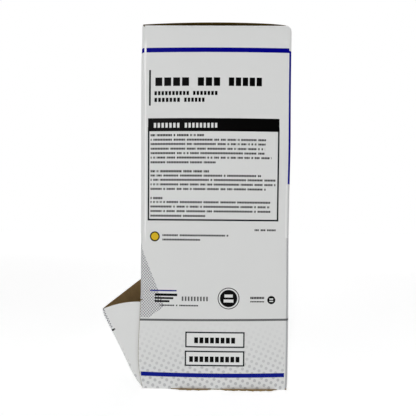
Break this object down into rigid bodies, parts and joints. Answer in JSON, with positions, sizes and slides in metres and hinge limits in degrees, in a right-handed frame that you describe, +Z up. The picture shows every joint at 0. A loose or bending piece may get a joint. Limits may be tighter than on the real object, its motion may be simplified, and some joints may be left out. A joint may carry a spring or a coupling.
{
  "type": "ear plug dispenser carton",
  "caption": "Tall paperboard counter carton with a tuck-in lid and a swing-out front chute that dispenses foam ear plugs in small clear bags.",
  "frame": {"origin": "centre of the carton's footprint, on the underside of the bottom panel", "axes": "+Z up along the carton's height, -X out of the chute, -Y out of the near side panel"},
  "size_m": [0.1459, 0.14, 0.2849],
  "materials": {
    "printed_board": "satin coated white face, kraft brown back",
    "kraft_board": "matte uncoated kraft fibre",
    "bag_film": "thin clear polyethylene film, glossy and creased",
    "plug_foam": "matte slow-recovery polyurethane foam with a smooth skin"
  },
  "bodies": {
    "carton": {"near_side_panel": "printed_board", "far_side_panel": "printed_board", "front_panel": "printed_board", "back_panel": "printed_board", "glue_seam_flap": "kraft_board", "bottom_panel": "kraft_board", "floor_flap_near": "kraft_board", "floor_flap_far": "kraft_board", "bag_02": "bag_film", "bag_03": "bag_film", "bag_04": "bag_film", "bag_05": "bag_film", "bag_06": "bag_film", "bag_07": "bag_film", "bag_08": "bag_film", "bag_09": "bag_film", "bag_10": "bag_film", "bag_11": "bag_film", "ear_plug_02_a": "plug_foam", "ear_plug_02_b": "plug_foam", "ear_plug_03_a": "plug_foam", "ear_plug_03_b": "plug_foam", "ear_plug_04_a": "plug_foam", "ear_plug_04_b": "plug_foam", "ear_plug_05_a": "plug_foam", "ear_plug_05_b": "plug_foam", "ear_plug_06_a": "plug_foam", "ear_plug_06_b": "plug_foam", "ear_plug_07_a": "plug_foam", "ear_plug_07_b": "plug_foam", "ear_plug_08_a": "plug_foam", "ear_plug_08_b": "plug_foam", "ear_plug_09_a": "plug_foam", "ear_plug_09_b": "plug_foam", "ear_plug_10_a": "plug_foam", "ear_plug_10_b": "plug_foam", "ear_plug_11_a": "plug_foam", "ear_plug_11_b": "plug_foam"},
    "lid": {"lid_panel": "printed_board"},
    "tuck_flap": {"lid_tuck_flap": "printed_board"},
    "dust_flap_near": {"top_dust_flap_near": "printed_board"},
    "dust_flap_far": {"top_dust_flap_far": "printed_board"},
    "chute": {"chute_front_flap": "printed_board", "chute_wing_near": "printed_board", "chute_wing_far": "printed_board"},
    "next_bag": {"bag_01": "bag_film", "ear_plug_01_a": "plug_foam", "ear_plug_01_b": "plug_foam"}
  },
  "joints": [
    {"name": "lid_hinge", "type": "hinge", "parent": "carton", "child": "lid", "pos_m": [0.0581, 0, 0.28215], "axis": [0, 1, 0], "range_deg": [0, 115]},
    {"name": "tuck_flap_hinge", "type": "hinge", "parent": "lid", "child": "tuck_flap", "pos_m": [-0.0569, 0, 0.28215], "axis": [0, -1, 0], "range_deg": [0, 55]},
    {"name": "dust_flap_near_hinge", "type": "hinge", "parent": "carton", "child": "dust_flap_near", "pos_m": [0, -0.06905, 0.282], "axis": [1, 0, 0], "range_deg": [0, 46]},
    {"name": "dust_flap_far_hinge", "type": "hinge", "parent": "carton", "child": "dust_flap_far", "pos_m": [0, 0.06905, 0.282], "axis": [-1, 0, 0], "range_deg": [0, 46]},
    {"name": "chute_hinge", "type": "hinge", "parent": "carton", "child": "chute", "pos_m": [-0.0581, 0, 0.0004], "axis": [0, -1, 0], "range_deg": [-25, 0]},
    {"name": "next_bag_slide", "type": "slide", "parent": "chute", "child": "next_bag", "axis": [-0.4226, 0, 0.9063], "range_m": [0, 0.075]}
  ],
  "couplings": [
    {"joint": "dust_flap_near_hinge", "follows": "lid_hinge", "ratio": 0.4},
    {"joint": "dust_flap_far_hinge", "follows": "lid_hinge", "ratio": 0.4}
  ]
}
